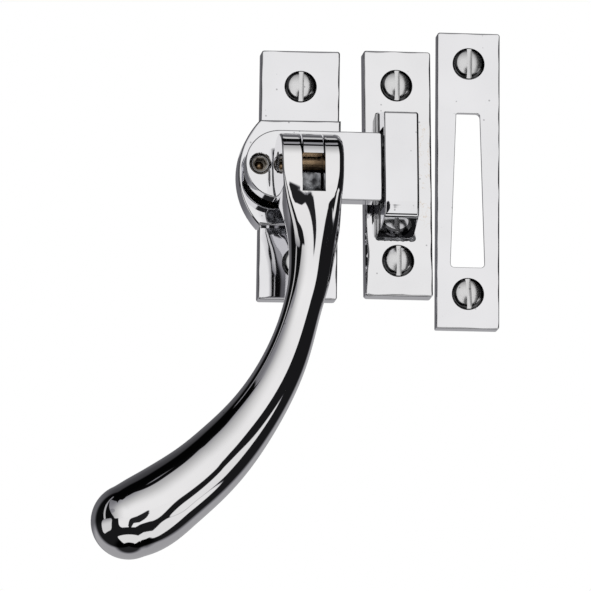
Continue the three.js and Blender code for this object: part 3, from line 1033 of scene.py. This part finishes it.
def split_washer():
    """A spring washer, split by a narrow gap on its right."""
    section = [
        (4.0, 1.95), (4.05, 1.9), (6.15, 1.9), (6.2, 1.95),
        (6.2, 2.65), (6.15, 2.7), (4.05, 2.7), (4.0, 2.65),
    ]
    spot = post_at(0, 0)
    rings = []
    for step in range(73):
        angle = 0.09 + (2 * math.pi - 0.18) * step / 72
        rings.append([spot(radius, angle, out) for radius, out in section])
    return loft("spring_washer_body", rings)


# Studio

# Light panels round the object, as seen from it: the azimuth and elevation of each one's middle in degrees,
# half its width and height, its corner's radius, its brightness and its lean. Azimuth 0 is towards the room.
PANELS = [
    (-9.5, 28.5, 42.5, 28.5, 6, 0.97, 0.0),
    (-52, 25, 18, 25, 6, 0.95, -0.9),
    (-3, -8, 35, 20, 12, 0.95, 0.0),
    (-80, -13, 19, 15, 8, 0.75, 0.3),
    (-90, 30, 3.5, 28, 3, 1.4, -0.25),
    (0, -62.5, 60, 12.5, 6, 0.87, 0.0),
    (57, -19, 12, 11, 6, 0.88, 0.0),
    (62, -46, 21, 16, 8, 0.9, 0.0),
    (0, 69, 45, 4.5, 3, 0.7, 0.0),
    (180, 77, 60, 5, 3, 1.3, 0.0),
]
BEHIND, BETWEEN = 0.41, 0.012
DOME_RADIUS, FLOOR_SIZE, FLOOR_HEIGHT = 3.2, 12, -1.6

# Where something hides the light: azimuth, elevation, half the width and height, what is left of it, and lean
SHADOWS = [(0, -15, 8, 15, 0.02, 0.25), (-60, 22, 9, 6, 0.7, 0.0)]


def from_middle(shader, azimuth, elevation, middle_azimuth, middle_elevation, lean):
    """How far a direction is from the middle of a panel or shadow that leans, across and up."""
    up = shader.math("SUBTRACT", elevation, middle_elevation)
    across = shader.math("SUBTRACT", azimuth, middle_azimuth)
    return shader.math("SUBTRACT", across, shader.math("MULTIPLY", up, lean)), up


def sum_of_squares(shader, first, second):
    return shader.math("ADD", shader.math("MULTIPLY", first, first), shader.math("MULTIPLY", second, second))


def panel_light(shader, azimuth, elevation, panel):
    """One panel's brightness in a direction: full inside its round-cornered outline and 0 outside."""
    middle_azimuth, middle_elevation, half_width, half_height, corner, bright, lean = panel
    offset, rise = from_middle(shader, azimuth, elevation, middle_azimuth, middle_elevation, lean)
    offset = shader.math("ABSOLUTE", shader.math("WRAP", offset, 180, -180))
    over = shader.math("MAXIMUM", shader.math("SUBTRACT", offset, half_width - corner), 0)
    above = shader.math("SUBTRACT", shader.math("ABSOLUTE", rise), half_height - corner)
    above = shader.math("MAXIMUM", above, 0)
    distance = shader.math("SQRT", sum_of_squares(shader, over, above))
    return shader.spread(distance, corner + 0.8, corner - 0.8, 0.0, bright)


def studio_light():
    """The emission of the studio's dome: light panels with dark gaps, and pale grey behind the object."""
    material = bpy.data.materials.new("studio_light")
    material.use_nodes = True
    material.node_tree.nodes.clear()
    shader = Shader(material.node_tree)
    where = shader.add("ShaderNodeTexCoord").outputs["Object"]
    unit = shader.add("ShaderNodeVectorMath", {"operation": "NORMALIZE"})
    shader.feed(unit, 0, where)
    parts = shader.add("ShaderNodeSeparateXYZ", Vector=unit.outputs[0]).outputs
    outward = shader.math("MULTIPLY", parts[1], -1.0)
    azimuth = shader.math("DEGREES", shader.math("ARCTAN2", parts[0], outward))
    elevation = shader.math("DEGREES", shader.math("ARCSINE", parts[2]))
    aside = shader.math("ABSOLUTE", shader.math("ADD", azimuth, 5))
    light = shader.spread(aside, 114, 131, BETWEEN, BEHIND)
    for fade in ((78, 40, 0.5), (-66, -52, 0.05)):
        light = shader.math("MULTIPLY", light, shader.spread(elevation, *fade, 1.0))
    for panel in PANELS:
        light = shader.math("MAXIMUM", light, panel_light(shader, azimuth, elevation, panel))
    high = shader.spread(elevation, -12, 5)
    dimmed = shader.math("MULTIPLY", high, shader.spread(azimuth, -15, -72, 0.0, 0.62))
    light = shader.math("MULTIPLY", light, shader.math("SUBTRACT", 1, dimmed))
    light = shader.math("MULTIPLY", light, shader.spread(elevation, 18, 58, 1.0, 0.5))
    for shadow in SHADOWS:
        share = shadow_share(shader, unit.outputs[0], azimuth, elevation, shadow)
        light = shader.math("MULTIPLY", light, share)
    tint = shader.mix(shader.spread(light, 0.2, 0.6), (0.94, 0.93, 1.0, 1), (1.0, 0.995, 0.985, 1))
    emission = shader.add("ShaderNodeEmission", Color=tint, Strength=light)
    output = shader.add("ShaderNodeOutputMaterial")
    material.node_tree.links.new(emission.outputs[0], output.inputs[0])
    return material


def shadow_share(shader, direction, azimuth, elevation, shadow):
    """The share of the light that is left in a direction, within a ragged oval and outside it."""
    middle_azimuth, middle_elevation, half_width, half_height, left, lean = shadow
    across, up = from_middle(shader, azimuth, elevation, middle_azimuth, middle_elevation, lean)
    across = shader.math("DIVIDE", across, half_width)
    up = shader.math("DIVIDE", up, half_height)
    lumps = shader.math("MULTIPLY", shader.noise(direction, 9.0, 3.0), 1.2)
    ragged = shader.math("ADD", sum_of_squares(shader, across, up), lumps)
    return shader.spread(ragged, 1.4, 1.7, left, 1.0)


def studio():
    """A dome of light that the camera doesn't see, a pale floor far below and a white world."""
    bpy.ops.mesh.primitive_uv_sphere_add(radius=DOME_RADIUS, segments=64, ring_count=32)
    dome = bpy.context.object
    dome.name = "studio_dome"
    dome.data.materials.append(studio_light())
    dome.visible_camera = False
    dome.visible_shadow = False
    bpy.ops.mesh.primitive_plane_add(size=FLOOR_SIZE, location=(0, 0, FLOOR_HEIGHT))
    floor = bpy.context.object
    floor.name = "studio_floor"
    floor.visible_glossy = False
    pale = bpy.data.materials.new("pale_floor")
    pale.use_nodes = True
    surface = pale.node_tree.nodes["Principled BSDF"].inputs
    surface["Base Color"].default_value = (0.9, 0.9, 0.9, 1)
    surface["Roughness"].default_value = 0.9
    floor.data.materials.append(pale)
    world = bpy.data.worlds.new("white_room")
    world.use_nodes = True
    world.node_tree.nodes["Background"].inputs["Color"].default_value = (1, 1, 1, 1)
    bpy.context.scene.world = world
    bpy.context.scene.view_settings.view_transform = "Standard"


# Camera, from slightly to the left and below, far off and with a long lens

CAMERA_AZIMUTH, CAMERA_ELEVATION, CAMERA_ROLL = -8.0, -12.0, -0.393
CAMERA_DISTANCE = 1500.0
CAMERA_TARGET = (-0.622, -30.949, 0)
PIXELS_PER_MM = 3.89
IMAGE_SIDE, SENSOR = 591, 36.0


def camera():
    azimuth, elevation = math.radians(CAMERA_AZIMUTH), math.radians(CAMERA_ELEVATION)
    level = math.cos(elevation)
    towards = Vector((math.sin(azimuth) * level, -math.cos(azimuth) * level, math.sin(elevation)))
    data = bpy.data.cameras.new("camera")
    data.sensor_width = SENSOR
    data.lens = SENSOR * PIXELS_PER_MM * CAMERA_DISTANCE / IMAGE_SIDE
    data.clip_end = 20
    obj = bpy.data.objects.new("camera", data)
    bpy.context.scene.collection.objects.link(obj)
    right = (-towards).cross(Vector((0, 0, 1))).normalized()
    above = right.cross(-towards)
    turn = math.radians(CAMERA_ROLL)
    rolled_right = right * math.cos(turn) + above * math.sin(turn)
    rolled_above = above * math.cos(turn) - right * math.sin(turn)
    pose = Matrix((rolled_right, rolled_above, towards)).transposed().to_4x4()
    pose.translation = place(*CAMERA_TARGET) + towards * CAMERA_DISTANCE * MM
    obj.matrix_world = pose
    bpy.context.scene.camera = obj


backplate()
hook_plate()
hook_block()
block_side_shade()
braze_and_shade()
mortice_plate()
for screw, (face, turn) in SCREWS.items():
    wood_screw(screw, face, turn)
latch_arm()
lock_spot = post_at(LOCK_ACROSS, 0)
grub_screw("lock_screw", "lock_screw", lock_spot, LOCK_SCREW["back"], LOCK_SCREW["front"], 2.6, glint=True)
handle()
grub_screw("pin_set_screw", "handle", along_pin, SET_SCREW_BACK, SET_SCREW_FRONT, 2.4)
small_parts()
studio()
camera()
